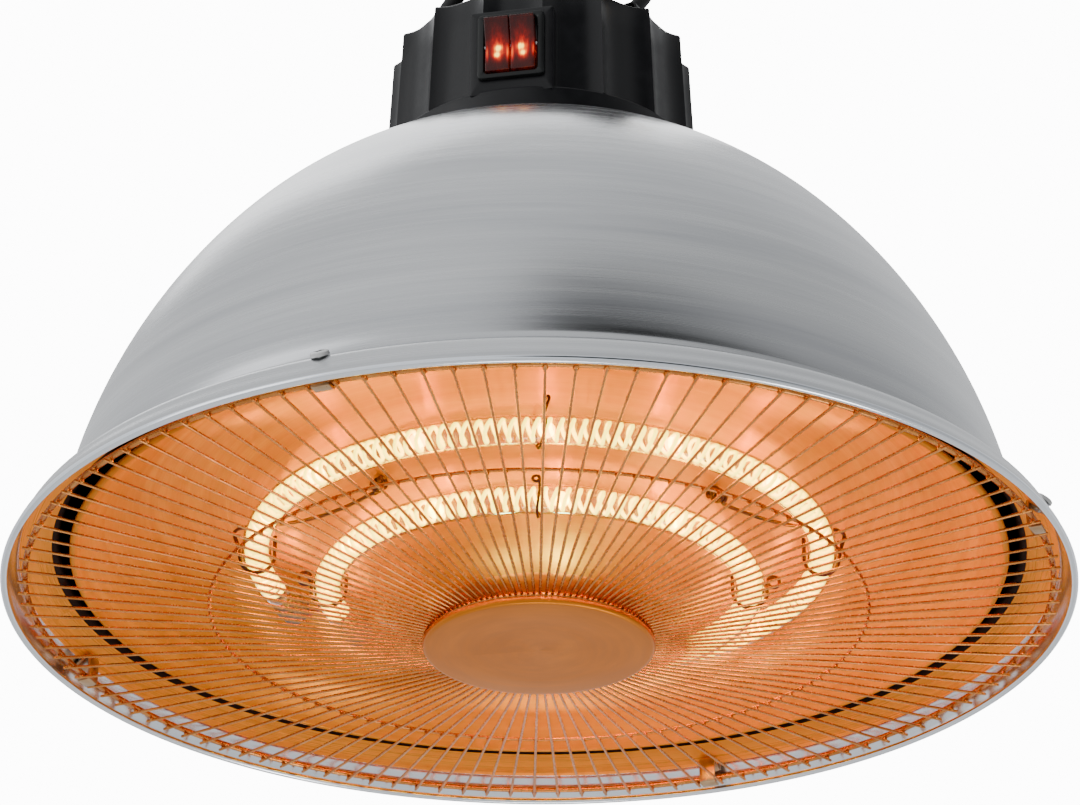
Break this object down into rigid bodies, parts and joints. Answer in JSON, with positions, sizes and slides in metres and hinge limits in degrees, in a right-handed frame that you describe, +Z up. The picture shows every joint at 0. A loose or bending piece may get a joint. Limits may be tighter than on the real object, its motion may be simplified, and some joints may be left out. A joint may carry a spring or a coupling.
{
  "type": "hanging patio heater",
  "caption": "Dome-shaped hanging patio heater with ring lamps under a conical reflector, a wire guard, a fluted cap with a double rocker switch and a hanging ring.",
  "frame": {"origin": "the point at the top of the hanging ring's opening that rests on the hook", "axes": "+Z up through the hanging ring and the cap's middle; -Y is the way the switch faces; +X to the right seen from the switch's side"},
  "size_m": [0.4244, 0.4244, 0.3528],
  "materials": {
    "shade_aluminium": "spun, satin, bare metal",
    "reflector_aluminium": "polished, lit orange by the lamps",
    "cap_plastic": "satin black moulding",
    "switch_plastic": "black",
    "rocker_red": "translucent red, lit from behind",
    "neon_glass": "clear glass, glowing",
    "quartz": "clear quartz",
    "glow": "glowing wound wire",
    "ceramic": "fired ceramic, matt",
    "lead": "silicone sleeving",
    "spring_wire": "heat-darkened spring wire",
    "guard_chrome": "bright plating",
    "zinc_steel": "zinc plated",
    "cord_rubber": "black rubber sheath",
    "plug_brass": "bright pins"
  },
  "bodies": {
    "ring": {"hanging_ring": "zinc_steel"},
    "heater": {"shade": "shade_aluminium", "reflector": "reflector_aluminium", "top_cap": "cap_plastic", "cord_gland": "cap_plastic", "gland_nut": "cap_plastic", "switch_housing": "switch_plastic", "neon_left": "neon_glass", "neon_right": "neon_glass", "outer_tube": "quartz", "inner_tube": "quartz", "outer_filament": "glow", "inner_filament": "glow", "terminal_block": "ceramic", "outer_start_end_cap": "ceramic", "outer_end_end_cap": "ceramic", "inner_start_end_cap": "ceramic", "inner_end_end_cap": "ceramic", "outer_start_bush": "ceramic", "outer_end_bush": "ceramic", "inner_start_bush": "ceramic", "inner_end_bush": "ceramic", "outer_start_lead": "lead", "outer_end_lead": "lead", "inner_start_lead": "lead", "inner_end_lead": "lead", "outer_support_left": "spring_wire", "outer_support_front": "spring_wire", "outer_support_right": "spring_wire", "inner_support_left": "spring_wire", "inner_support_front": "spring_wire", "inner_support_right": "spring_wire", "guard_spokes": "guard_chrome", "guard_outer_ring": "guard_chrome", "guard_mid_ring": "guard_chrome", "guard_disc": "guard_chrome", "guard_clip_1": "zinc_steel", "guard_clip_2": "zinc_steel", "guard_clip_3": "zinc_steel", "guard_clip_4": "zinc_steel", "guard_screw_1": "zinc_steel", "guard_screw_2": "zinc_steel", "guard_screw_3": "zinc_steel", "guard_screw_4": "zinc_steel", "eye_bolt": "zinc_steel", "rod_washer": "zinc_steel", "rod_nut_hub": "zinc_steel", "rod_nut_shade": "zinc_steel", "stiffener_plate": "zinc_steel", "rocker_pin": "zinc_steel", "cord": "cord_rubber", "cord_coil": "cord_rubber", "plug_lead": "cord_rubber", "plug_body": "cord_rubber", "coil_tie": "cord_rubber", "plug_pin_1": "plug_brass", "plug_pin_2": "plug_brass"},
    "left_rocker": {"rocker_left": "rocker_red"},
    "right_rocker": {"rocker_right": "rocker_red"}
  },
  "joints": [
    {"name": "swing", "type": "hinge", "parent": "ring", "child": "heater", "pos_m": [0, 0, -0.0302], "axis": [1, 0, 0], "range_deg": [-25, 25]},
    {"name": "left_rocker_tip", "type": "hinge", "parent": "heater", "child": "left_rocker", "pos_m": [-0.0053, -0.0652, -0.0959], "axis": [-1, 0, 0], "range_deg": [0, 21]},
    {"name": "right_rocker_tip", "type": "hinge", "parent": "heater", "child": "right_rocker", "pos_m": [0.0053, -0.0652, -0.0959], "axis": [-1, 0, 0], "range_deg": [0, 21]}
  ]
}
